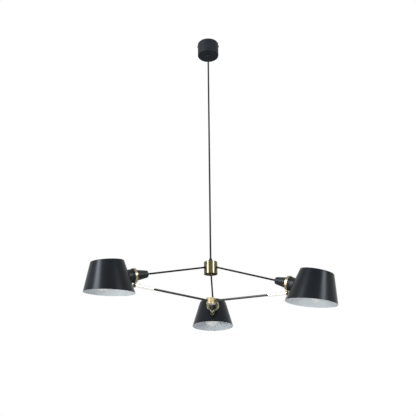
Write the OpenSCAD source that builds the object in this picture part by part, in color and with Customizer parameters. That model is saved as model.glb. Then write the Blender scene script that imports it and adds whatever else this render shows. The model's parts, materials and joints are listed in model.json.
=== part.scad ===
// Three-lamp cord chandelier: a ceiling canopy, one suspension cord, a brass hub with three
// branch cords, and a star of three tubes that spreads three shaded lamp heads.
// The origin is the centre of the canopy on the ceiling, +Z is up and +Y points to the rear lamp.

/* [Ceiling canopy] */
// Outside diameter of the canopy cup
canopy_d = 87; // [80:1:110]
// Height of the canopy cup below the ceiling
canopy_h = 58; // [50:1:80]
// Wall thickness of the canopy cup
canopy_wall = 1.6; // [1:0.1:2.5]
// Distance between the two ceiling screw slots
slot_pitch = 46; // [42:1:50]
// Diameter of the ceiling screws
ceiling_screw_d = 5; // [4:0.5:5.5]

/* [Suspension] */
// Ceiling to the plane of the arm tubes
drop = 1101.5; // [500:0.5:2000]
// Diameter of every cord
cord_d = 6.4; // [4:0.1:7]
// Diameter of the upper brass hub
hub_d = 50; // [46:1:60]
// Height of the upper brass hub
hub_h = 46; // [42:1:60]
// Middle of the upper hub above the plane of the arm tubes
hub_rise = 121; // [100:1:150]
// Lean of the arm frame as it hangs, right side down
frame_lean = 3.8; // [0:0.1:5]

/* [Arms] */
// Outside diameter of an arm tube
tube_d = 7.5; // [5:0.5:8]
// Rise of the arms from the lower hub outwards
arm_rise = 2; // [0:0.1:3]
// Diameter of the brass rod on the end of a tube
rod_d = 11; // [10:0.5:13]
// Length of the brass rod on the end of a tube
rod_l = 65.8; // [50:0.1:80]
// Diameter of the lower brass hub
lower_hub_d = 33; // [30:1:40]
// Height of the lower brass hub
lower_hub_h = 21; // [18:1:26]

/* [Lamp heads] */
// Chandelier axis to the middle of a brass ring
ring_reach = 300.5; // [285:0.5:340]
// Middle of a brass ring above the plane of the arm tubes
ring_rise = 42.4; // [40:0.2:46]
// Outside diameter of a brass ring
ring_d = 51; // [50:1:58]
// Thickness of a brass ring along the lampholder
ring_t = 9; // [6:0.5:10]
// Outside diameter of a lampholder body
holder_d = 45; // [44:0.5:48]
// Length of the tapered lampholder cap
cap_l = 45.5; // [40:0.5:50]
// Diameter of the tip of the lampholder cap
cap_tip_d = 24; // [20:1:28]

/* [Shades] */
// Diameter of the open rim of a shade
rim_d = 170; // [160:1:190]
// Diameter of the closed top of a shade
top_d = 111; // [105:1:125]
// Height of a shade along its axis
shade_h = 104.5; // [98:0.5:120]
// Lampholder hole above the rim of the shade
socket_h = 52.5; // [50:0.5:60]
// Middle of a brass ring to the wall of its shade
shade_gap = 22.5; // [21:0.5:30]
// Lean of a shade, with its opening turned in towards the chandelier axis
shade_lean = 10.5; // [3:0.5:12]
// Slant of the open rim against the shade's axis, longer on the hub side
mouth_slant = 6.3; // [0:0.1:9]
// Thickness of the sheet that a shade is spun from
shade_wall = 1.2; // [0.8:0.1:1.6]
// Diameter of a lamp bulb
bulb_d = 80; // [60:1:84]
// Length of a lamp bulb with its cap
bulb_l = 112; // [108:1:118]
// Turn of the left shade about its lampholder, as it hangs
left_turn = 2.7; // [-10:0.1:10]
// Turn of the right shade about its lampholder, as it hangs
right_turn = -0.5; // [-10:0.1:10]
// Turn of the rear shade about its lampholder, as it hangs
rear_turn = 3.3; // [-10:0.1:10]

/* [Hidden] */
$fn = 64;
fit = 0.1;
swivel_gap = 0.3;
seat_gap = 0.05;
swing_gap = 0.25;
cord_tip_gap = 0.3;
cap_cord_gap = 1.2;

cord_r = cord_d / 2;
black = [0.09, 0.09, 0.1];
charcoal = [0.17, 0.18, 0.2];
cord_black = [0.05, 0.05, 0.05];
old_brass = [0.5, 0.45, 0.3];
gold_brass = [0.85, 0.72, 0.42];
pale_brass = [0.9, 0.86, 0.7];
steel = [0.65, 0.66, 0.68];
ivory = [0.9, 0.89, 0.84];
opal = [0.95, 0.95, 0.92];

SIDES = ["left", "right", "rear"];
AZIMUTHS = [210, 330, 90];
TURNS = [left_turn, right_turn, rear_turn];
FRAME_PARTS = ["arm_tube", "arm_rod", "arm_screw", "ring_plate", "branch_cord"];
HEAD_PARTS = ["holder_cap", "holder_body", "ring_nut", "shade_saddle", "shade",
    "shade_clamp", "screw_shell", "contact_base", "bulb"];
MAIN_PARTS = ["ceiling_bracket", "canopy_cup", "canopy_side_screws", "terminal_block",
    "cord_grip", "cord_grip_nut", "canopy_cord_tail", "main_cord", "hub_gland",
    "hub_gland_nut", "hub_shell", "hub_floor", "hub_cord_bushes", "wire_splice",
    "lower_hub", "lower_hub_cover", "tube_grub_screws"];

// Canopy and its bracket
canopy_edge = 4;
bracket_t = 2;
bracket_w = 18;
bracket_l = 2 * sqrt(pow(canopy_d / 2 - canopy_wall - 1, 2) - pow(bracket_w / 2, 2));
ear_h = 16;
slot_l = ceiling_screw_d + 3;
side_screw_d = 4;
side_screw_z = -10;
terminal = [26, 12, 11];
grip_stem_r = 5;
grip_flange_r = 7.5;
grip_flange_h = 4;
grip_stem_h = 12;
grip_chamfer = 1.5;
mouth_angle = 14;
nut_across = 16;
nut_h = 4;
side_head_r = 3.6;
side_head_h = 2.2;
slot_w = 1;
pole_d = 4;

// Upper hub
hub_r = hub_d / 2;
hub_z = hub_rise - drop;
hub_top = hub_z + hub_h / 2;
hub_bottom = hub_z - hub_h / 2;
hub_wall = 2.5;
hub_edge = 1.2;
hub_floor_t = 3;
hub_spigot_h = 4;
gland_r = 8.8;
gland_lip = 1.2;
gland_tip_r = cord_r + gland_lip;
gland_h = 14;
gland_collar_h = 2.5;
gland_stem_r = 5;
gland_stem_h = 10;
cord_past_gland = 2;
bush_wall = 1.5;
bush_r = cord_r + bush_wall;
bush_in = 6;
bush_out = 1.5;
cord_past_bush = 6;
splice_r = 8;
splice_h = 12;

// Arm ends
tube_grip = 12;
tube_wall = 1;
hub_core = 7;
cover_t = 1.5;
cover_inset = 0.2;
grub_d = 3;
grub_at = lower_hub_d / 2 - 5;
grub_l = lower_hub_h / 2 - cover_t - tube_d / 2 / cos(arm_rise) - seat_gap
    + (grub_at - grub_d / 2) * tan(arm_rise);
ear_t = 4.5;
ear_w = 13;
eye_d = 16;
screw_d = 4;
screw_l = 12;
screw_head_d = 8;
screw_head_h = 3;
hex_key = 3;
hex_depth = 2;
ring_bite = 3;

// Lampholder, measured from the middle of the ring along its own axis, towards the hub
socket_rise = atan2(hub_rise - ring_rise, ring_reach - hub_r);
neck_r = 18;
spigot_r = 15.5;
spigot_h = 7;
cap_base_r = 19.3;
cap_wall = 2.5;
cap_end_t = 6;
cap_edge = 5;
cord_in_cap = 10;
nut_z = -ring_t / 2 - swivel_gap;
ring_nut_t = 6;
ring_nut_inset = 2.5;
ring_nut_r = ring_d / 2 - ring_nut_inset;
collar_z = nut_z - ring_nut_t;
collar_t = 3.2;
saddle_z = collar_z - collar_t;
saddle_l = 30;
skirt_r = 20;
skirt_end = -64;
bore_r = 16.5;
bore_end = -26;
wire_r = 6;
cap_z = ring_t / 2 + swivel_gap;
tip_z = cap_z + cap_l;
clamp_r = 26;
clamp_l = 18.5;
clamp_end = -shade_gap - clamp_l;
base_t = 5;
base_hole_r = 1.5;
shell_r = 13.5;
shell_t = 0.7;
shell_lip = 1;
shell_end = -60;
bulb_base_r = shell_r - 0.3;
bulb_contact_r = 5;
bulb_contact_h = 3;
bulb_shoulder = 5;
bulb_r = bulb_d / 2;
bulb_mid = bore_end - base_t - bulb_l + bulb_r;
bulb_neck = -58;
bulb_flare = 0.6;
neck_end = [0.76 * bulb_r, bulb_mid + 0.45 * bulb_r];

// Shade, placed so that its wall crosses the lampholder axis one gap beyond the ring
rim_r = rim_d / 2;
top_r = top_d / 2;
shade_edge = 3.5;
shade_slope = atan2(rim_r - top_r, shade_h);
mouth_over = 3;
mouth_reach = rim_r * tan(mouth_slant) + mouth_over;
wall_x = rim_r - socket_h * tan(shade_slope);
wall_at = [ring_reach + shade_gap * cos(socket_rise), ring_rise - shade_gap * sin(socket_rise)];
rim_at = [wall_at[0] + wall_x * cos(shade_lean) - socket_h * sin(shade_lean),
    wall_at[1] - wall_x * sin(shade_lean) - socket_h * cos(shade_lean)];

// The ear of the ring plate drops from the lower side of the ring, square to the rod
ring_low = [ring_reach - (ring_d / 2 - ring_bite) * sin(socket_rise),
    ring_rise - (ring_d / 2 - ring_bite) * cos(socket_rise)];
eye_reach = ring_low[0] * cos(arm_rise) + ring_low[1] * sin(arm_rise);
ear_top = ring_low[1] * cos(arm_rise) - ring_low[0] * sin(arm_rise);
rod_end = eye_reach - ear_t / 2;
tube_reach = rod_end - rod_l;

// A point on an arm, given along the arm and up from it, in the part's own frame
function arm_point(a, p) = let (x = p[0] * cos(a), y = p[0] * sin(a))
    [x * cos(frame_lean) + p[1] * sin(frame_lean), y,
    p[1] * cos(frame_lean) - x * sin(frame_lean) - drop];
function cap_tip(a) = arm_point(a,
    [ring_reach - tip_z * cos(socket_rise), ring_rise + tip_z * sin(socket_rise)]);
function cord_exit(a) = [hub_r * cos(a), hub_r * sin(a), hub_z];
function cord_way(a) = (cap_tip(a) - cord_exit(a)) / norm(cap_tip(a) - cord_exit(a));
function cord_at(a, s) = cord_exit(a) + s * cord_way(a);
function cord_span(a) = norm(cap_tip(a) - cord_exit(a));

// A round bar between two points
module bar(from, to, r) {
    way = to - from;
    translate(from)
        rotate([0, acos(way[2] / norm(way)), atan2(way[1], way[0])])
            cylinder(h = norm(way), r = r);
}

// Half profile of a truncated cone that stands on its wide end, with its top edge rounded
module cone_profile(r0, r1, h, edge) {
    slope = atan2(r0 - r1, h);
    cz = h - edge;
    cx = r0 - cz * tan(slope) - edge / cos(slope);
    polygon([[0, 0], [r0, 0], [cx + edge * cos(slope), cz + edge * sin(slope)], [cx, h], [0, h]]);
    translate([cx, cz])
        circle(edge);
}

// Places on the leaning arm frame
module on_arm(a) {
    translate([0, 0, -drop])
        rotate([0, frame_lean, 0])
            rotate([0, 0, a])
                children();
}
module on_holder() {
    translate([ring_reach, 0, ring_rise])
        rotate([0, socket_rise - 90, 0])
            children();
}
module on_shade(turn) {
    on_holder()
        rotate([0, 0, turn])
            rotate([0, 90 - socket_rise, 0])
                translate([rim_at[0] - ring_reach, 0, rim_at[1] - ring_rise])
                    rotate([0, shade_lean, 0])
                        children();
}
module on_rise() {
    rotate([0, -arm_rise, 0])
        children();
}
module along_arm(from) {
    on_rise()
        translate([from, 0, 0])
            rotate([0, 90, 0])
                children();
}
module tube_section(z0, z1, r1, r0) {
    translate([0, 0, z0])
        difference() {
            cylinder(h = z1 - z0, r = r1);
            translate([0, 0, -1])
                cylinder(h = z1 - z0 + 2, r = r0);
        }
}

// Ceiling parts
module ceiling_bracket() {
    color(steel)
        difference() {
            union() {
                translate([-bracket_l / 2, -bracket_w / 2, -bracket_t])
                    cube([bracket_l, bracket_w, bracket_t]);
                for (s = [-1, 1])
                    translate([s * (bracket_l - bracket_t) / 2 - bracket_t / 2, -bracket_w / 2, -ear_h])
                        cube([bracket_t, bracket_w, ear_h]);
            }
            for (s = [-1, 1])
                translate([s * slot_pitch / 2, 0, -bracket_t - 1]) {
                    for (e = [-1, 1])
                        translate([e * (slot_l - ceiling_screw_d) / 2, 0, 0])
                            cylinder(h = bracket_t + 2, d = ceiling_screw_d);
                    translate([-(slot_l - ceiling_screw_d) / 2, -ceiling_screw_d / 2, 0])
                        cube([slot_l - ceiling_screw_d, ceiling_screw_d, bracket_t + 2]);
                }
            translate([-canopy_d / 2, 0, side_screw_z])
                rotate([0, 90, 0])
                    cylinder(h = canopy_d, d = side_screw_d + fit);
        }
}

module canopy_profile(r, h, edge) {
    translate([0, edge])
        square([r, h - edge]);
    square([r - edge, edge]);
    translate([r - edge, edge])
        circle(edge);
}
module canopy_cup() {
    color(black)
        difference() {
            translate([0, 0, -canopy_h])
                rotate_extrude()
                    difference() {
                        canopy_profile(canopy_d / 2, canopy_h, canopy_edge);
                        translate([0, canopy_wall])
                            canopy_profile(canopy_d / 2 - canopy_wall, canopy_h,
                                canopy_edge - canopy_wall);
                    }
            translate([0, 0, -canopy_h - 1])
                cylinder(h = canopy_wall + 2, r = grip_stem_r + fit);
            translate([-canopy_d, 0, side_screw_z])
                rotate([0, 90, 0])
                    cylinder(h = 2 * canopy_d, d = side_screw_d + fit);
        }
}

module canopy_side_screws() {
    reach = canopy_d / 2 - bracket_l / 2 + 2 * bracket_t;
    color(black)
        for (turn = [0, 180])
            rotate([0, 0, turn])
                translate([canopy_d / 2, 0, side_screw_z])
                    rotate([0, 90, 0]) {
                        difference() {
                            cylinder(h = side_head_h, r = side_head_r);
                            translate([-side_head_r, -slot_w / 2, side_head_h - slot_w])
                                cube([2 * side_head_r, slot_w, 2 * slot_w]);
                        }
                        translate([0, 0, -reach])
                            cylinder(h = reach + slot_w / 2, d = side_screw_d);
                    }
}

module terminal_block() {
    pole = terminal[0] / 3;
    color(ivory)
        translate([-terminal[0] / 2, -terminal[1] / 2, -bracket_t - terminal[2]])
            difference() {
                cube(terminal);
                for (i = [0:2]) {
                    translate([(i + 0.5) * pole, -1, terminal[2] / 2])
                        rotate([-90, 0, 0])
                            cylinder(h = terminal[1] + 2, d = pole_d);
                    if (i != 1)
                        translate([(i + 0.5) * pole, terminal[1] / 2, -1])
                            cylinder(h = pole_d, d = pole_d);
                }
            }
}

module cord_grip() {
    color(black)
        translate([0, 0, -canopy_h])
            rotate_extrude()
                polygon([
                    [cord_r + swing_gap + grip_flange_h * tan(mouth_angle), -grip_flange_h],
                    [grip_flange_r - grip_chamfer, -grip_flange_h],
                    [grip_flange_r, 0],
                    [grip_stem_r, 0],
                    [grip_stem_r, grip_stem_h],
                    [cord_r + fit, grip_stem_h],
                    [cord_r + fit, cord_r + cord_tip_gap],
                    [cord_r + swing_gap, cord_r + cord_tip_gap],
                    [cord_r + swing_gap, 0]
                ]);
}

module hex_nut(r_bore, across, h) {
    difference() {
        cylinder(h = h, d = across / cos(30), $fn = 6);
        translate([0, 0, -1])
            cylinder(h = h + 2, r = r_bore);
    }
}
module cord_grip_nut() {
    color(steel)
        translate([0, 0, canopy_wall - canopy_h])
            hex_nut(grip_stem_r + fit, nut_across, nut_h);
}

module canopy_cord_tail() {
    bottom = cord_r + cord_tip_gap - canopy_h;
    color(cord_black)
        translate([0, 0, bottom])
            cylinder(h = -bracket_t - terminal[2] - bottom, r = cord_r);
}

// Suspension cord, rounded at the mouth of the grip, where it swings
module main_cord() {
    end = hub_top - gland_stem_h - cord_past_gland;
    color(cord_black) {
        translate([0, 0, end])
            cylinder(h = -canopy_h - end, r = cord_r);
        translate([0, 0, -canopy_h])
            sphere(r = cord_r);
    }
}

// Upper hub
module hub_gland() {
    color(black)
        translate([0, 0, hub_top])
            rotate_extrude()
                polygon([
                    [cord_r + fit, -gland_stem_h],
                    [gland_stem_r, -gland_stem_h],
                    [gland_stem_r, 0],
                    [gland_r, 0],
                    [gland_r, gland_collar_h],
                    [gland_tip_r, gland_h],
                    [cord_r + fit, gland_h]
                ]);
}
module hub_gland_nut() {
    color(steel)
        translate([0, 0, hub_top - hub_wall - nut_h])
            hex_nut(gland_stem_r + fit, nut_across, nut_h);
}

module hub_shell() {
    h = hub_h - hub_floor_t;
    color(old_brass)
        difference() {
            translate([0, 0, hub_bottom + hub_floor_t])
                rotate_extrude()
                    difference() {
                        union() {
                            square([hub_r, h - hub_edge]);
                            square([hub_r - hub_edge, h]);
                            translate([hub_r - hub_edge, h - hub_edge])
                                circle(hub_edge);
                        }
                        translate([-1, -1])
                            square([hub_r - hub_wall + 1, h - hub_wall + 1]);
                    }
            translate([0, 0, hub_top - hub_wall - 1])
                cylinder(h = hub_wall + 2, r = gland_stem_r + fit);
            for (a = AZIMUTHS)
                bar(cord_at(a, -bush_in), cord_at(a, bush_in), bush_r + fit);
        }
}
module hub_floor() {
    color(old_brass)
        translate([0, 0, hub_bottom])
            rotate_extrude() {
                translate([0, hub_edge])
                    square([hub_r, hub_floor_t - hub_edge]);
                square([hub_r - hub_edge, hub_edge]);
                translate([hub_r - hub_edge, hub_edge])
                    intersection() {
                        circle(hub_edge);
                        translate([0, -hub_edge])
                            square(hub_edge);
                    }
                square([hub_r - hub_wall - fit, hub_floor_t + hub_spigot_h]);
            }
}
module hub_cord_bushes() {
    color(black)
        for (a = AZIMUTHS)
            difference() {
                bar(cord_at(a, -bush_in), cord_at(a, bush_out), bush_r);
                bar(cord_at(a, -bush_in - 1), cord_at(a, bush_out + 1), cord_r + fit / 2);
            }
}
module wire_splice() {
    color(ivory)
        translate([0, 0, hub_bottom + hub_floor_t + hub_spigot_h])
            cylinder(h = splice_h, r = splice_r);
}

// Lower hub, which takes the three tubes
module lower_hub() {
    color(gold_brass)
        on_arm(0)
            difference() {
                translate([0, 0, cover_t - lower_hub_h / 2])
                    cylinder(h = lower_hub_h - cover_t, d = lower_hub_d);
                for (a = AZIMUTHS)
                    rotate([0, 0, a]) {
                        along_arm(hub_core)
                            cylinder(h = lower_hub_d, d = tube_d + fit);
                        translate([grub_at, 0, -lower_hub_h])
                            cylinder(h = lower_hub_h, d = grub_d + fit);
                    }
            }
}
module lower_hub_cover() {
    color(gold_brass)
        on_arm(0)
            translate([0, 0, -lower_hub_h / 2])
                cylinder(h = cover_t, d = lower_hub_d - 2 * cover_inset);
}
module tube_grub_screws() {
    color(steel)
        on_arm(0)
            for (a = AZIMUTHS)
                rotate([0, 0, a])
                    translate([grub_at, 0, cover_t - lower_hub_h / 2])
                        cylinder(h = grub_l, d = grub_d);
}

// Arms
module arm_tube(a) {
    color(black)
        on_arm(a)
            along_arm(hub_core)
                tube_section(0, tube_reach + tube_grip - hub_core, tube_d / 2, tube_d / 2 - tube_wall);
}
module arm_rod(a) {
    color(pale_brass)
        on_arm(a)
            difference() {
                along_arm(tube_reach)
                    cylinder(h = rod_end - tube_reach, d = rod_d);
                along_arm(tube_reach - 1)
                    cylinder(h = tube_grip + 1, d = tube_d + fit);
                along_arm(rod_end - screw_l - 2)
                    cylinder(h = screw_l + 3, d = screw_d + fit);
            }
}
module arm_screw(a) {
    color(gold_brass)
        on_arm(a) {
            along_arm(rod_end - screw_l)
                cylinder(h = screw_l + ear_t, d = screw_d);
            along_arm(rod_end + ear_t)
                difference() {
                    cylinder(h = screw_head_h, d = screw_head_d);
                    translate([0, 0, screw_head_h - hex_depth])
                        cylinder(h = screw_head_h, d = hex_key, $fn = 6);
                }
        }
}
module ring_plate(a) {
    color(gold_brass)
        on_arm(a)
            difference() {
                union() {
                    on_holder()
                        translate([0, 0, -ring_t / 2])
                            cylinder(h = ring_t, d = ring_d);
                    on_rise()
                        translate([rod_end, -ear_w / 2, 0])
                            cube([ear_t, ear_w, ear_top]);
                    along_arm(rod_end)
                        cylinder(h = ear_t, d = eye_d);
                }
                on_holder()
                    translate([0, 0, -ring_t])
                        cylinder(h = 2 * ring_t, r = neck_r + fit);
                along_arm(rod_end - 1)
                    cylinder(h = ear_t + 2, d = screw_d + fit);
            }
}
module branch_cord(a) {
    color(cord_black)
        bar(cord_at(a, -bush_in - cord_past_bush), cord_at(a, cord_span(a) + cord_in_cap), cord_r);
}

// Lamp heads
module holder_cap(a) {
    color(black)
        on_arm(a)
            on_holder()
                translate([0, 0, cap_z])
                    rotate_extrude()
                        difference() {
                            cone_profile(cap_base_r, cap_tip_d / 2, cap_l, cap_edge);
                            square([spigot_r + fit, spigot_h + fit]);
                            polygon([
                                [0, spigot_h],
                                [spigot_r - 1, spigot_h],
                                [cap_tip_d / 2 - cap_wall, cap_l - cap_end_t],
                                [0, cap_l - cap_end_t]
                            ]);
                            square([cord_r + cap_cord_gap, 2 * cap_l]);
                        }
}
module holder_body(a) {
    color(black)
        on_arm(a)
            on_holder()
                rotate_extrude()
                    polygon([
                        [wire_r, cap_z + spigot_h],
                        [spigot_r, cap_z + spigot_h],
                        [spigot_r, cap_z],
                        [neck_r, cap_z],
                        [neck_r, collar_z],
                        [holder_d / 2, collar_z],
                        [holder_d / 2, saddle_z],
                        [skirt_r, saddle_z],
                        [skirt_r, skirt_end],
                        [bore_r, skirt_end],
                        [bore_r, bore_end],
                        [wire_r, bore_end]
                    ]);
}
module ring_nut(a) {
    color(black)
        on_arm(a)
            on_holder()
                tube_section(collar_z, nut_z, ring_nut_r, neck_r + fit);
}
// The cone runs on past its rim, so that the mouth can be cut on a slant
module shade_body(inset) {
    side = inset / cos(shade_slope);
    rotate_extrude()
        translate([0, -mouth_reach])
            cone_profile(rim_r - side + mouth_reach * tan(shade_slope),
                top_r - side + inset * tan(shade_slope),
                shade_h - inset + mouth_reach, shade_edge - inset);
}
module below_mouth() {
    rotate([0, -mouth_slant, 0])
        translate([-rim_d, -rim_d, -rim_d])
            cube([2 * rim_d, 2 * rim_d, rim_d]);
}
module shade_saddle(a, turn) {
    color(black)
        on_arm(a)
            difference() {
                on_holder()
                    tube_section(saddle_z - saddle_l, saddle_z, holder_d / 2, skirt_r + fit);
                on_shade(turn)
                    shade_body(0);
            }
}
module shade(a, turn) {
    color(charcoal)
        on_arm(a)
            difference() {
                on_shade(turn)
                    difference() {
                        shade_body(0);
                        shade_body(shade_wall);
                        below_mouth();
                    }
                on_holder()
                    translate([0, 0, clamp_end])
                        cylinder(h = -clamp_end, r = skirt_r + fit);
            }
}
module shade_clamp(a, turn) {
    color(black)
        on_arm(a)
            intersection() {
                on_holder()
                    tube_section(clamp_end, 0, clamp_r, skirt_r + fit);
                on_shade(turn)
                    shade_body(shade_wall);
            }
}
module screw_shell(a) {
    color(gold_brass)
        on_arm(a)
            on_holder() {
                tube_section(shell_end, bore_end - base_t, shell_r + shell_t, shell_r);
                tube_section(bore_end - base_t - shell_lip, bore_end - base_t, bore_r - fit, shell_r);
            }
}
module contact_base(a) {
    color(ivory)
        on_arm(a)
            on_holder()
                tube_section(bore_end - base_t, bore_end, bore_r - fit, base_hole_r);
}
module bulb(a) {
    tip = bore_end - base_t;
    color(opal)
        on_arm(a)
            on_holder() {
                rotate_extrude()
                    polygon([
                        [0, tip],
                        [bulb_contact_r - 1, tip],
                        [bulb_contact_r, tip - bulb_contact_h],
                        [bulb_base_r, tip - bulb_shoulder],
                        [bulb_base_r, bulb_neck],
                        [bulb_base_r + bulb_flare, bulb_neck - 4],
                        neck_end,
                        [0, neck_end[1]]
                    ]);
                translate([0, 0, bulb_mid])
                    sphere(r = bulb_r);
            }
}

ceiling_bracket();
canopy_cup();
canopy_side_screws();
terminal_block();
cord_grip();
cord_grip_nut();
canopy_cord_tail();
main_cord();
hub_gland();
hub_gland_nut();
hub_shell();
hub_floor();
hub_cord_bushes();
wire_splice();
lower_hub();
lower_hub_cover();
tube_grub_screws();
for (i = [0:2]) {
    arm_tube(AZIMUTHS[i]);
    arm_rod(AZIMUTHS[i]);
    arm_screw(AZIMUTHS[i]);
    ring_plate(AZIMUTHS[i]);
    branch_cord(AZIMUTHS[i]);
    holder_cap(AZIMUTHS[i]);
    holder_body(AZIMUTHS[i]);
    ring_nut(AZIMUTHS[i]);
    shade_saddle(AZIMUTHS[i], TURNS[i]);
    shade(AZIMUTHS[i], TURNS[i]);
    shade_clamp(AZIMUTHS[i], TURNS[i]);
    screw_shell(AZIMUTHS[i]);
    contact_base(AZIMUTHS[i]);
    bulb(AZIMUTHS[i]);
}
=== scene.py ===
"""Cord-hung chandelier with three conical shades: finishes, cords, studio light and camera."""
import json
import math

import bmesh
import bpy
from mathutils import Matrix, Vector

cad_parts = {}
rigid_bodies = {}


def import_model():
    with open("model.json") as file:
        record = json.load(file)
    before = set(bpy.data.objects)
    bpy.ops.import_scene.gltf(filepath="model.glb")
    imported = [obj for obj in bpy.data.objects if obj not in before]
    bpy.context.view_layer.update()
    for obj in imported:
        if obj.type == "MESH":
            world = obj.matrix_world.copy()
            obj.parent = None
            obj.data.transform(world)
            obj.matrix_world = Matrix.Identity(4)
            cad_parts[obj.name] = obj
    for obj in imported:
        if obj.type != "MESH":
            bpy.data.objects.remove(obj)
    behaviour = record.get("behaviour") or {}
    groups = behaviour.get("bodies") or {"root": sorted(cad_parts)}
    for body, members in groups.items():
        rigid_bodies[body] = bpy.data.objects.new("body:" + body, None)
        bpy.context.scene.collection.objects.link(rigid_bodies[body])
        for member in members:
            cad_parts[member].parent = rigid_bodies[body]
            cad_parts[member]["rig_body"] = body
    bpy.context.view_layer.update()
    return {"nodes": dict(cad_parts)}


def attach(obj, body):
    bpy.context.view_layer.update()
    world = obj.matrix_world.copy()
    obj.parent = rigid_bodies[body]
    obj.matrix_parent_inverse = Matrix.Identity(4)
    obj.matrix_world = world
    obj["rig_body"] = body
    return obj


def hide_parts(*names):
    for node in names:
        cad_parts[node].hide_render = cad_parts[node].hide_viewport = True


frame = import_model()
nodes = frame["nodes"]

# Directions of the three arms, in degrees round the cord
SIDES = {"left": 210, "right": 330, "rear": 90}

# Sizes of the part, in metres and degrees
DROP = 1.1015
FRAME_LEAN = 3.8
CANOPY_H = 0.058
CORD_D = 0.0064
HUB_R = 0.025
HUB_RISE = 0.121
HUB_H = 0.046
GLAND_DEPTH = 0.012
CORD_IN_HUB = 0.012
CORD_IN_CAP = 0.010
TERMINAL_BOTTOM = -0.013
TAIL_BOTTOM = -0.0545
RING_REACH = 0.3005
RING_RISE = 0.0424
RING_R = 0.0255
CAP_TIP = 0.0503
RING_NUT_R = 0.023
RING_NUT_Z = (-0.0108, -0.0048)
BULB_NECK = -0.058
RIM_R = 0.085
TOP_R = 0.0555
SHADE_H = 0.1045
SOCKET_H = 0.0525
SHADE_GAP = 0.0225
SHADE_LEAN = 10.5
SHADE_TURN = {"left": 2.7, "right": -0.5, "rear": 3.3}

# Fine detail that the solids leave out, in metres and counts
CORD_SIDES = 20
BRAID_THREADS = 10
RIB_COUNT = 40
RIB_SIDES = 8
RIB_R = 0.0007
RIB_END_GAP = 0.0008
EDGE_STEPS = 2

# The camera that the photograph was taken with, in pixels, metres and degrees
IMAGE_PX = 416
FOCAL_PX = 570.0
SENSOR_MM = 36
CAMERA_AT = Vector((0.02886, -2.02317, -1.51759))
CAMERA_PITCH = 20.9
CAMERA_PAN = 1.03
CAMERA_ROLL = -0.61
CAMERA_REACH = 60

# The studio, in metres and degrees, with light levels at which 1 is white
FLOOR_Z = -2.7
FLOOR_R = 14.0
FLOOR_SIDES = 96
FLOOR_WHITE = 0.55
AMBIENT = 0.42
AMBIENT_TINT = (0.95, 0.97, 1.0, 1)
LAMPS_AT = Vector((0, 0, -0.95))
SOFT_BOXES = {
    "left_soft_box": dict(at=(-1.8, -1.48, -0.05), width=0.74, height=1.5, radiance=25),
    "right_soft_box": dict(at=(1.85, -1.6, -0.3), width=0.62, height=0.9, radiance=24),
    "low_fill": dict(at=(-3.0, -2.2, -2.05), width=1.6, height=0.9, radiance=3.2, beam=90),
    "front_fill": dict(at=(1.0, -3.3, -2.35), width=1.6, height=0.8, radiance=2.3, beam=90),
}


# Places on the leaning frame
def turn(degrees, axis):
    return Matrix.Rotation(math.radians(degrees), 4, axis)


def arm_place(side):
    """Origin at the middle of the lower hub, +X out to that side, before the arm's own rise."""
    return Matrix.Translation((0, 0, -DROP)) @ turn(FRAME_LEAN, "Y") @ turn(SIDES[side], "Z")


# Rise of the lampholders, which point at the upper hub, in degrees
SOCKET_RISE = math.degrees(math.atan2(HUB_RISE - RING_RISE, RING_REACH - HUB_R))


def holder_place(side):
    """Origin at the middle of the brass ring, +Z along the lampholder towards the hub."""
    ring_middle = Matrix.Translation((RING_REACH, 0, RING_RISE))
    return arm_place(side) @ ring_middle @ turn(SOCKET_RISE - 90, "Y")


def shade_place(side):
    """Origin at the middle of the open rim, +Z along the shade's axis."""
    rise, lean = math.radians(SOCKET_RISE), math.radians(SHADE_LEAN)
    wall = RIM_R - SOCKET_H * (RIM_R - TOP_R) / SHADE_H
    x = SHADE_GAP * math.cos(rise) + wall * math.cos(lean) - SOCKET_H * math.sin(lean)
    z = -SHADE_GAP * math.sin(rise) - wall * math.sin(lean) - SOCKET_H * math.cos(lean)
    return (holder_place(side) @ turn(SHADE_TURN[side], "Z") @ turn(90 - SOCKET_RISE, "Y")
            @ Matrix.Translation((x, 0, z)) @ turn(SHADE_LEAN, "Y"))


def cord_ends(side):
    """Where a branch cord starts inside the hub and ends inside the lampholder cap."""
    angle = math.radians(SIDES[side])
    leaves = Vector((HUB_R * math.cos(angle), HUB_R * math.sin(angle), HUB_RISE - DROP))
    enters = holder_place(side) @ Vector((0, 0, CAP_TIP))
    way = (enters - leaves).normalized()
    return leaves - CORD_IN_HUB * way, enters + CORD_IN_CAP * way


# Material building blocks
NOISE_REACH = (0.3, 0.7)
TARNISH_PATCH = 0.012
TOOL_LINE_DEPTH = 0.00002
BRAID_DEPTH = 0.0002


def start_finish(name, **sockets):
    material = bpy.data.materials.new(name)
    material.use_nodes = True
    tree = material.node_tree
    shader = tree.nodes["Principled BSDF"]
    for socket, value in sockets.items():
        shader.inputs[socket.replace("_", " ")].default_value = value
    return material, tree, shader


def grain(tree, size, stretch=(1, 1, 1), detail=4.0):
    """Noise on the piece's own coordinates, with a grain of that size in metres."""
    place = tree.nodes.new("ShaderNodeTexCoord")
    mapping = tree.nodes.new("ShaderNodeMapping")
    mapping.inputs["Scale"].default_value = stretch
    noise = tree.nodes.new("ShaderNodeTexNoise")
    noise.inputs["Scale"].default_value = 1 / size
    noise.inputs["Detail"].default_value = detail
    tree.links.new(place.outputs["Object"], mapping.inputs["Vector"])
    tree.links.new(mapping.outputs["Vector"], noise.inputs["Vector"])
    return noise.outputs["Fac"]


def tone(tree, fac, dark, light, reach=NOISE_REACH):
    """A colour that goes from dark to light while fac goes through its reach."""
    ramp = tree.nodes.new("ShaderNodeValToRGB")
    first, last = ramp.color_ramp.elements
    first.position, last.position = reach
    first.color, last.color = (*dark, 1), (*light, 1)
    tree.links.new(fac, ramp.inputs["Fac"])
    return ramp.outputs["Color"]


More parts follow.
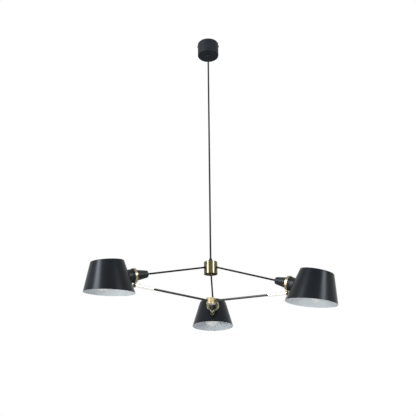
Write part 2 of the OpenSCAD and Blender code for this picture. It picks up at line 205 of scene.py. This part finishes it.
def between(tree, fac, first, last):
    """A value that goes from first to last while fac goes through a noise's reach."""
    span = tree.nodes.new("ShaderNodeMapRange")
    span.inputs["From Min"].default_value, span.inputs["From Max"].default_value = NOISE_REACH
    span.inputs["To Min"].default_value = first
    span.inputs["To Max"].default_value = last
    tree.links.new(fac, span.inputs["Value"])
    return span.outputs["Result"]


def relief(tree, shader, height, depth, strength=0.5):
    bump = tree.nodes.new("ShaderNodeBump")
    bump.inputs["Distance"].default_value = depth
    bump.inputs["Strength"].default_value = strength
    tree.links.new(height, bump.inputs["Height"])
    tree.links.new(bump.outputs["Normal"], shader.inputs["Normal"])


def calc(tree, operation, *values):
    node = tree.nodes.new("ShaderNodeMath")
    node.operation = operation
    for socket, value in zip(node.inputs, values):
        if isinstance(value, (int, float)):
            socket.default_value = value
        else:
            tree.links.new(value, socket)
    return node.outputs["Value"]


def coated(name, dark, light, rough, cloud, peel, depth, **sockets):
    """A sprayed or moulded skin: slow changes of colour and gloss over a fine peel."""
    material, tree, shader = start_finish(name, **sockets)
    clouds = grain(tree, cloud)
    tree.links.new(tone(tree, clouds, dark, light), shader.inputs["Base Color"])
    tree.links.new(between(tree, clouds, *rough), shader.inputs["Roughness"])
    relief(tree, shader, grain(tree, peel, detail=2.0), depth)
    return material


def turned(name, dark, light, rough, line, stretch=(1, 1, 1)):
    """Metal with fine tool lines across the stretched direction and a slow tarnish."""
    material, tree, shader = start_finish(name, Metallic=1.0)
    lines = grain(tree, line, stretch, detail=3.0)
    tarnish = grain(tree, TARNISH_PATCH, detail=5.0)
    tree.links.new(tone(tree, tarnish, dark, light), shader.inputs["Base Color"])
    tree.links.new(between(tree, lines, *rough), shader.inputs["Roughness"])
    relief(tree, shader, lines, TOOL_LINE_DEPTH, strength=0.25)
    return material


def braided(name, dark, light, rough, **sockets):
    """A textile sheath: two sets of threads wound opposite ways round the cord."""
    material, tree, shader = start_finish(name, **sockets)
    local = tree.nodes.new("ShaderNodeAttribute")
    local.attribute_name = "cord_local"
    axes = tree.nodes.new("ShaderNodeSeparateXYZ")
    tree.links.new(local.outputs["Vector"], axes.inputs["Vector"])
    angle = calc(tree, "ARCTAN2", axes.outputs["Y"], axes.outputs["X"])
    around = calc(tree, "MULTIPLY", angle, BRAID_THREADS)
    along = calc(tree, "MULTIPLY", axes.outputs["Z"], BRAID_THREADS / (CORD_D / 2))
    one_way = calc(tree, "SINE", calc(tree, "ADD", around, along))
    other_way = calc(tree, "SINE", calc(tree, "SUBTRACT", around, along))
    weave = calc(tree, "MULTIPLY_ADD", calc(tree, "MAXIMUM", one_way, other_way), 0.5, 0.5)
    tree.links.new(tone(tree, weave, dark, light, reach=(0.1, 0.9)), shader.inputs["Base Color"])
    tree.links.new(between(tree, weave, *rough), shader.inputs["Roughness"])
    relief(tree, shader, weave, BRAID_DEPTH, strength=0.6)
    return material


# Finishes, with a cool gloss on black paint and mouldings and level tool lines on turned brass
BLUE_GLOSS = (0.76, 0.89, 1.0, 1.0)
FINE_LINES = (0.02, 0.02, 1)
LINES = (0.05, 0.05, 1)

COATS = {
    "canopy_paint": dict(
        dark=(0.0060, 0.0068, 0.0085), light=(0.0080, 0.0090, 0.0112), rough=(0.5, 0.6),
        cloud=0.03, peel=0.0011, depth=0.00004, Specular_IOR_Level=0.15, Specular_Tint=BLUE_GLOSS),
    "shade_outside": dict(
        dark=(0.0036, 0.0041, 0.0052), light=(0.0048, 0.0054, 0.0068), rough=(0.28, 0.33),
        cloud=0.05, peel=0.0016, depth=0.00003, Specular_IOR_Level=0.135, Specular_Tint=BLUE_GLOSS),
    "shade_inside": dict(
        dark=(0.445, 0.48, 0.50), light=(0.50, 0.535, 0.555), rough=(0.45, 0.6),
        cloud=0.04, peel=0.0014, depth=0.00004),
    "holder_moulding": dict(
        dark=(0.004, 0.004, 0.0045), light=(0.006, 0.006, 0.0068), rough=(0.35, 0.45),
        cloud=0.02, peel=0.0006, depth=0.00004, Specular_IOR_Level=0.25, Specular_Tint=BLUE_GLOSS),
    "tube_lacquer": dict(
        dark=(0.004, 0.004, 0.0045), light=(0.006, 0.006, 0.0068), rough=(0.18, 0.26),
        cloud=0.02, peel=0.0009, depth=0.00002, Specular_IOR_Level=0.22),
    "ivory_moulding": dict(
        dark=(0.72, 0.69, 0.6), light=(0.8, 0.77, 0.69), rough=(0.4, 0.55),
        cloud=0.015, peel=0.0008, depth=0.00004),
    "opal_glass": dict(
        dark=(0.47, 0.48, 0.475), light=(0.525, 0.535, 0.53), rough=(0.2, 0.3),
        cloud=0.03, peel=0.004, depth=0.00002),
}
METALS = {
    "antique_brass": dict(
        dark=(0.096, 0.089, 0.054), light=(0.122, 0.114, 0.072), rough=(0.11, 0.15),
        line=0.0004, stretch=FINE_LINES),
    "satin_brass": dict(
        dark=(0.27, 0.22, 0.115), light=(0.33, 0.27, 0.145), rough=(0.56, 0.62),
        line=0.0005, stretch=LINES),
    "bright_brass": dict(
        dark=(0.66, 0.52, 0.26), light=(0.74, 0.60, 0.32), rough=(0.18, 0.28),
        line=0.0005, stretch=LINES),
    # Brass of the lower hub's underside cover, darkened as painted shade
    "underside_shade_brass": dict(
        dark=(0.46, 0.405, 0.28), light=(0.53, 0.47, 0.33), rough=(0.3, 0.4),
        line=0.0005, stretch=LINES),
    "ring_brass": dict(
        dark=(0.22, 0.195, 0.12), light=(0.29, 0.26, 0.165), rough=(0.26, 0.36), line=0.0006),
    "pale_brass": dict(
        dark=(0.86, 0.84, 0.71), light=(0.91, 0.89, 0.77), rough=(0.05, 0.09), line=0.0006),
    # Brass darkened as painted shade, on the ring plates' eyes and the arm screws
    "painted_shade_brass": dict(
        dark=(0.085, 0.076, 0.047), light=(0.115, 0.103, 0.065), rough=(0.26, 0.36), line=0.0006),
    "zinc_steel": dict(
        dark=(0.5, 0.5, 0.52), light=(0.6, 0.6, 0.62), rough=(0.3, 0.42),
        line=0.0005, stretch=(1, 0.05, 1)),
}
FINISH = {name: coated(name, **look) for name, look in COATS.items()}
FINISH.update({name: turned(name, **look) for name, look in METALS.items()})
FINISH["cord_braid"] = braided(
    "cord_braid", dark=(0.002, 0.002, 0.0022), light=(0.006, 0.006, 0.0066), rough=(0.75, 0.6),
    Sheen_Weight=0.03, Sheen_Roughness=0.5, Specular_IOR_Level=0.1)


# Refined copies of the solids: merged, with softened edges
MERGE_GAP = 2e-6
FLAT_ANGLE = math.radians(0.4)
SHARP_ANGLE = math.radians(32)
UPWARD = 0.6
OUTWARD = 0.3
EYE_MARGIN = 0.0003


def body_of(node):
    return nodes[node]["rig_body"]


def plain_mesh(obj, name):
    """The evaluated shape of an object as a new object with no modifiers."""
    graph = bpy.context.evaluated_depsgraph_get()
    mesh = bpy.data.meshes.new_from_object(obj.evaluated_get(graph), depsgraph=graph)
    mesh.name = name
    old = obj.data
    bpy.data.objects.remove(obj)
    if old.users == 0:
        bpy.data.meshes.remove(old)
    piece = bpy.data.objects.new(name, mesh)
    bpy.context.scene.collection.objects.link(piece)
    return piece


def stand_for(piece, node):
    """The piece moves with the node's body and hides the node."""
    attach(piece, body_of(node))
    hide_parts(node)


def refine(node, edge, finishes, choose=None):
    """A copy of a node's solid with rounded edges; choose gives a face the index of its finish."""
    shape = bmesh.new()
    shape.from_mesh(nodes[node].data)
    bmesh.ops.remove_doubles(shape, verts=shape.verts, dist=MERGE_GAP)
    bmesh.ops.dissolve_limit(shape, angle_limit=FLAT_ANGLE, use_dissolve_boundaries=False,
                             verts=shape.verts, edges=shape.edges, delimit={"NORMAL"})
    for face in shape.faces:
        face.smooth = True
        face.material_index = choose(face.calc_center_median(), face.normal) if choose else 0
    mesh = bpy.data.meshes.new(node + "_shape")
    shape.to_mesh(mesh)
    shape.free()
    for finish in finishes:
        mesh.materials.append(FINISH[finish])
    rough = bpy.data.objects.new(node + "_shape", mesh)
    bpy.context.scene.collection.objects.link(rough)
    bevel = rough.modifiers.new("soft_edge", "BEVEL")
    bevel.width = edge
    bevel.segments = EDGE_STEPS
    bevel.limit_method = "ANGLE"
    bevel.angle_limit = SHARP_ANGLE
    walls = rough.modifiers.new("true_walls", "WEIGHTED_NORMAL")
    walls.mode = "FACE_AREA"
    stand_for(plain_mesh(rough, node + "_piece"), node)


def paint(node, finish):
    """A hidden solid keeps its own mesh and takes a finish."""
    slots = nodes[node].data.materials
    slots.clear()
    slots.append(FINISH[finish])


def outside_or_inside(side):
    """Outside of a shade, which faces up or out, is 0 and its enamelled inside is 1."""
    local = shade_place(side).inverted()

    def choose(centre, normal):
        at, way = local @ centre, local.to_3x3() @ normal
        out = Vector((at.x, at.y, 0)).normalized()
        return 0 if way.z > UPWARD or way.dot(out) > OUTWARD else 1
    return choose


def glass_or_cap(side):
    """Glass of a bulb is 0 and its metal cap is 1."""
    local = holder_place(side).inverted()
    return lambda centre, normal: 1 if (local @ centre).z > BULB_NECK else 0


def ring_or_eye(side):
    """Ring of a ring plate is 0 and the eye below it is 1; the eye takes brass darkened as painted
    shade.
    """
    local = holder_place(side).inverted()
    return lambda centre, normal: 1 if (local @ centre).xy.length > RING_R + EYE_MARGIN else 0


# Finish of each piece, with the width of its soft edges in metres
MAIN_FINISH = {
    "canopy_cup": ("canopy_paint", 0.0004), "canopy_side_screws": ("canopy_paint", 0.0003),
    "cord_grip": ("holder_moulding", 0.0004), "hub_gland": ("holder_moulding", 0.0004),
    "hub_shell": ("antique_brass", 0.0003), "hub_floor": ("antique_brass", 0.0003),
    "hub_cord_bushes": ("holder_moulding", 0.0003),
    # The lower hub's underside cover takes brass darkened as painted shade
    "lower_hub": ("satin_brass", 0.0005), "lower_hub_cover": ("underside_shade_brass", 0.0003),
}
HIDDEN_FINISH = {
    "ceiling_bracket": "zinc_steel", "terminal_block": "ivory_moulding",
    "cord_grip_nut": "zinc_steel", "hub_gland_nut": "zinc_steel",
    "wire_splice": "ivory_moulding", "tube_grub_screws": "zinc_steel",
}
SIDE_FINISH = {
    "arm_tube": ("tube_lacquer", 0.0002), "arm_rod": ("pale_brass", 0.0004),
    # The arm screws take the brass darkened as painted shade
    "arm_screw": ("painted_shade_brass", 0.0003),
    "holder_cap": ("holder_moulding", 0.0005), "holder_body": ("holder_moulding", 0.0005),
    "ring_nut": ("holder_moulding", 0.0006), "shade_saddle": ("holder_moulding", 0.0003),
    "shade_clamp": ("holder_moulding", 0.0005),
}
SIDE_HIDDEN = {"screw_shell": "bright_brass", "contact_base": "ivory_moulding"}
TWO_FINISHES = {
    # The ring plates' eyes take the brass darkened as painted shade
    "ring_plate": (("ring_brass", "painted_shade_brass"), 0.0006, ring_or_eye),
    "shade": (("shade_outside", "shade_inside"), 0.0003, outside_or_inside),
    "bulb": (("opal_glass", "bright_brass"), 0.0003, glass_or_cap),
}

for node, (finish, edge) in MAIN_FINISH.items():
    refine(node, edge, [finish])
for node, finish in HIDDEN_FINISH.items():
    paint(node, finish)
for side in SIDES:
    for part, (finish, edge) in SIDE_FINISH.items():
        refine(f"{side}_{part}", edge, [finish])
    for part, finish in SIDE_HIDDEN.items():
        paint(f"{side}_{part}", finish)
    for part, (finishes, edge, choice) in TWO_FINISHES.items():
        refine(f"{side}_{part}", edge, finishes, choice(side))


# Geometry node trees
class Tree:
    """A geometry node tree with named inputs, joined up by short calls."""

    def __init__(self, name, inputs):
        self.tree = bpy.data.node_groups.new(name, "GeometryNodeTree")
        sockets = self.tree.interface
        for label, kind in inputs.items():
            sockets.new_socket(label, in_out="INPUT", socket_type="NodeSocket" + kind)
        sockets.new_socket("Geometry", in_out="OUTPUT", socket_type="NodeSocketGeometry")
        self.given = self.tree.nodes.new("NodeGroupInput").outputs
        self.result = self.tree.nodes.new("NodeGroupOutput").inputs

    def add(self, kind, links=None, **settings):
        node = self.tree.nodes.new(kind)
        for name, value in settings.items():
            setattr(node, name, value)
        for socket, source in (links or {}).items():
            if isinstance(source, bpy.types.NodeSocket):
                self.tree.links.new(source, node.inputs[socket])
            else:
                node.inputs[socket].default_value = source
        return node

    def capture(self, shape, kind, label, value):
        """A node that keeps a value of a shape's points under that label."""
        node = self.add("GeometryNodeCaptureAttribute", {"Geometry": shape})
        node.capture_items.new(kind, label)
        self.tree.links.new(value, node.inputs[label])
        return node

    def finish(self, shape, material):
        real = self.add("GeometryNodeRealizeInstances", {"Geometry": shape})
        coat = self.add("GeometryNodeSetMaterial",
                        {"Geometry": real.outputs["Geometry"], "Material": material})
        self.tree.links.new(coat.outputs["Geometry"], self.result["Geometry"])

    def make(self, name, values):
        """A plain mesh object made by this tree with these values."""
        holder = bpy.data.objects.new(name + "_tree", bpy.data.meshes.new(name + "_tree"))
        bpy.context.scene.collection.objects.link(holder)
        modifier = holder.modifiers.new("tree", "NODES")
        modifier.node_group = self.tree
        for item in self.tree.interface.items_tree:
            if item.in_out == "INPUT":
                modifier[item.identifier] = values[item.name]
        return plain_mesh(holder, name)


def cord_tree():
    """A round cord between two points, with coordinates round and along it for the braid."""
    t = Tree("braided_cord", {"Start": "Vector", "End": "Vector", "Radius": "Float",
                              "Steps": "Int", "Sides": "Int", "Sheath": "Material"})
    line = t.add("GeometryNodeCurvePrimitiveLine",
                 {"Start": t.given["Start"], "End": t.given["End"]})
    route = t.add("GeometryNodeResampleCurve",
                  {"Curve": line.outputs["Curve"], "Count": t.given["Steps"]})
    length = t.add("GeometryNodeSplineParameter").outputs["Length"]
    path = t.capture(route.outputs["Curve"], "FLOAT", "along", length)
    ring = t.add("GeometryNodeCurvePrimitiveCircle",
                 {"Resolution": t.given["Sides"], "Radius": t.given["Radius"]})
    place = t.add("GeometryNodeInputPosition").outputs["Position"]
    section = t.capture(ring.outputs["Curve"], "VECTOR", "around", place)
    tube = t.add("GeometryNodeCurveToMesh",
                 {"Curve": path.outputs["Geometry"], "Profile Curve": section.outputs["Geometry"],
                  "Fill Caps": True})
    flat = t.add("ShaderNodeSeparateXYZ", {"Vector": section.outputs["around"]})
    local = t.add("ShaderNodeCombineXYZ",
                  {"X": flat.outputs["X"], "Y": flat.outputs["Y"], "Z": path.outputs["along"]})
    kept = t.add("GeometryNodeStoreNamedAttribute",
                 {"Geometry": tube.outputs["Mesh"], "Name": "cord_local",
                  "Value": local.outputs["Vector"]},
                 data_type="FLOAT_VECTOR", domain="POINT")
    t.finish(kept.outputs["Geometry"], t.given["Sheath"])
    return t


def rib_tree():
    """Upright grip ribs round a ring."""
    t = Tree("grip_ribs", {"Count": "Int", "Ring Radius": "Float", "Rib Sides": "Int",
                           "Rib Radius": "Float", "Rib Length": "Float", "Moulding": "Material"})
    ring = t.add("GeometryNodeMeshCircle",
                 {"Vertices": t.given["Count"], "Radius": t.given["Ring Radius"]})
    rib = t.add("GeometryNodeMeshCylinder",
                {"Vertices": t.given["Rib Sides"], "Radius": t.given["Rib Radius"],
                 "Depth": t.given["Rib Length"]})
    row = t.add("GeometryNodeInstanceOnPoints",
                {"Points": ring.outputs["Mesh"], "Instance": rib.outputs["Mesh"]})
    t.finish(row.outputs["Instances"], t.given["Moulding"])
    return t


# Cords, each taut between its two ends
cords = cord_tree()


def round_over(mesh, steps=6):
    """Domes the upper end of an upright cord over, up to half a cord's width above it."""
    shape = bmesh.new()
    shape.from_mesh(mesh)
    tip = max((f for f in shape.faces if len(f.verts) > 4), key=lambda f: f.calc_center_median().z)
    base = tip.calc_center_median()
    for step in range(1, steps):
        angle = math.pi / 2 * step / steps
        tip = bmesh.ops.extrude_discrete_faces(shape, faces=[tip])["faces"][0]
        for vert in tip.verts:
            flat = Vector((vert.co.x - base.x, vert.co.y - base.y, 0)).normalized()
            vert.co = base + CORD_D / 2 * (flat * math.cos(angle) + Vector((0, 0, math.sin(angle))))
    shape.to_mesh(mesh)
    shape.free()


def hang_cord(node, start, end, steps, rounded=False):
    """A cord from start to end; a rounded one has a dome at its start."""
    tube_start = start + CORD_D / 2 * (end - start).normalized() if rounded else start
    piece = cords.make(node + "_piece", {"Start": tube_start, "End": end, "Radius": CORD_D / 2,
                                         "Steps": steps, "Sides": CORD_SIDES,
                                         "Sheath": FINISH["cord_braid"]})
    if rounded:
        round_over(piece.data)
    for face in piece.data.polygons:
        face.use_smooth = len(face.vertices) == 4
    stand_for(piece, node)
    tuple(start)
    [start.lerp(end, i / steps) for i in range(steps + 1)]


CORD_TOP = CORD_D / 2 - CANOPY_H
CORD_BOTTOM = HUB_RISE + HUB_H / 2 - DROP - GLAND_DEPTH
hang_cord("main_cord", Vector((0, 0, CORD_TOP)), Vector((0, 0, CORD_BOTTOM)),
          steps=40, rounded=True)
hang_cord("canopy_cord_tail", Vector((0, 0, TERMINAL_BOTTOM)), Vector((0, 0, TAIL_BOTTOM)),
          steps=15)
for side in SIDES:
    hang_cord(f"{side}_branch_cord", *cord_ends(side), steps=24)

# Grip ribs on the ring nuts
ribs = rib_tree()
NUT_BOTTOM, NUT_TOP = RING_NUT_Z
for side in SIDES:
    piece = ribs.make(f"{side}_nut_ribs", {"Count": RIB_COUNT, "Ring Radius": RING_NUT_R,
                                           "Rib Sides": RIB_SIDES, "Rib Radius": RIB_R,
                                           "Rib Length": NUT_TOP - NUT_BOTTOM - 2 * RIB_END_GAP,
                                           "Moulding": FINISH["holder_moulding"]})
    nut_middle = Matrix.Translation((0, 0, (NUT_BOTTOM + NUT_TOP) / 2))
    piece.data.transform(holder_place(side) @ nut_middle)
    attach(piece, f"{side}_head")


# Studio: white surroundings, a pale floor, two soft boxes and two low fills
def mix_shaders(tree, share, plain, white, output):
    """Sends plain to the output, with that share of white."""
    mix = tree.nodes.new("ShaderNodeMixShader")
    tree.links.new(share, mix.inputs["Fac"])
    tree.links.new(plain, mix.inputs[1])
    tree.links.new(white, mix.inputs[2])
    tree.links.new(mix.outputs["Shader"], tree.nodes[output].inputs["Surface"])


def make_world():
    """White to the camera, in reflections and through glass, and dimmer as light on the part."""
    world = bpy.data.worlds.new("studio")
    world.use_nodes = True
    tree = world.node_tree
    dim = tree.nodes["Background"]
    dim.inputs["Color"].default_value = AMBIENT_TINT
    dim.inputs["Strength"].default_value = AMBIENT
    white = tree.nodes.new("ShaderNodeBackground")
    white.inputs["Color"].default_value = (1, 1, 1, 1)
    ray = tree.nodes.new("ShaderNodeLightPath").outputs
    seen = calc(tree, "MAXIMUM", ray["Is Camera Ray"], ray["Is Glossy Ray"])
    seen = calc(tree, "MAXIMUM", seen, ray["Is Transmission Ray"])
    mix_shaders(tree, seen, dim.outputs["Background"], white.outputs["Background"], "World Output")
    bpy.context.scene.world = world


def make_floor():
    """A pale floor that keeps its shadows and looks lighter to the camera than it lights."""
    mesh = bpy.data.meshes.new("floor")
    shape = bmesh.new()
    bmesh.ops.create_circle(shape, cap_ends=True, segments=FLOOR_SIDES, radius=FLOOR_R)
    bmesh.ops.translate(shape, verts=shape.verts, vec=(0, 0, FLOOR_Z))
    shape.to_mesh(mesh)
    shape.free()
    floor = bpy.data.objects.new("floor", mesh)
    bpy.context.scene.collection.objects.link(floor)
    floor_paint = coated("floor_paint", dark=(0.90, 0.90, 0.90), light=(0.92, 0.92, 0.92),
                         rough=(0.8, 0.9), cloud=0.8, peel=0.01, depth=0.0001)
    tree = floor_paint.node_tree
    matt = tree.nodes["Principled BSDF"]
    white = tree.nodes.new("ShaderNodeEmission")
    ray = tree.nodes.new("ShaderNodeLightPath").outputs
    share = calc(tree, "MULTIPLY", ray["Is Camera Ray"], FLOOR_WHITE)
    mix_shaders(tree, share, matt.outputs["BSDF"], white.outputs["Emission"], "Material Output")
    mesh.materials.append(floor_paint)


def soft_box(name, at, width, height, radiance, beam=180):
    """A soft box aimed at the lamps; a narrower beam, as from a grid, is brighter in its middle."""
    lamp = bpy.data.lights.new(name, "AREA")
    lamp.shape = "RECTANGLE"
    lamp.size, lamp.size_y = width, height
    lamp.energy = radiance * math.pi * width * height
    lamp.spread = math.radians(beam)
    box = bpy.data.objects.new(name, lamp)
    box.location = at
    box.rotation_euler = (LAMPS_AT - Vector(at)).to_track_quat("-Z", "Y").to_euler()
    bpy.context.scene.collection.objects.link(box)


def make_camera():
    lens = bpy.data.cameras.new("camera")
    lens.sensor_fit = "HORIZONTAL"
    lens.sensor_width = SENSOR_MM
    lens.lens = FOCAL_PX / IMAGE_PX * SENSOR_MM
    lens.clip_end = CAMERA_REACH
    camera = bpy.data.objects.new("camera", lens)
    facing = turn(CAMERA_PAN, "Z") @ turn(90 + CAMERA_PITCH, "X") @ turn(CAMERA_ROLL, "Z")
    camera.matrix_world = Matrix.Translation(CAMERA_AT) @ facing
    bpy.context.scene.collection.objects.link(camera)
    bpy.context.scene.camera = camera


make_world()
make_floor()
for name, box in SOFT_BOXES.items():
    soft_box(name, **box)
make_camera()
bpy.context.scene.view_settings.view_transform = "Standard"
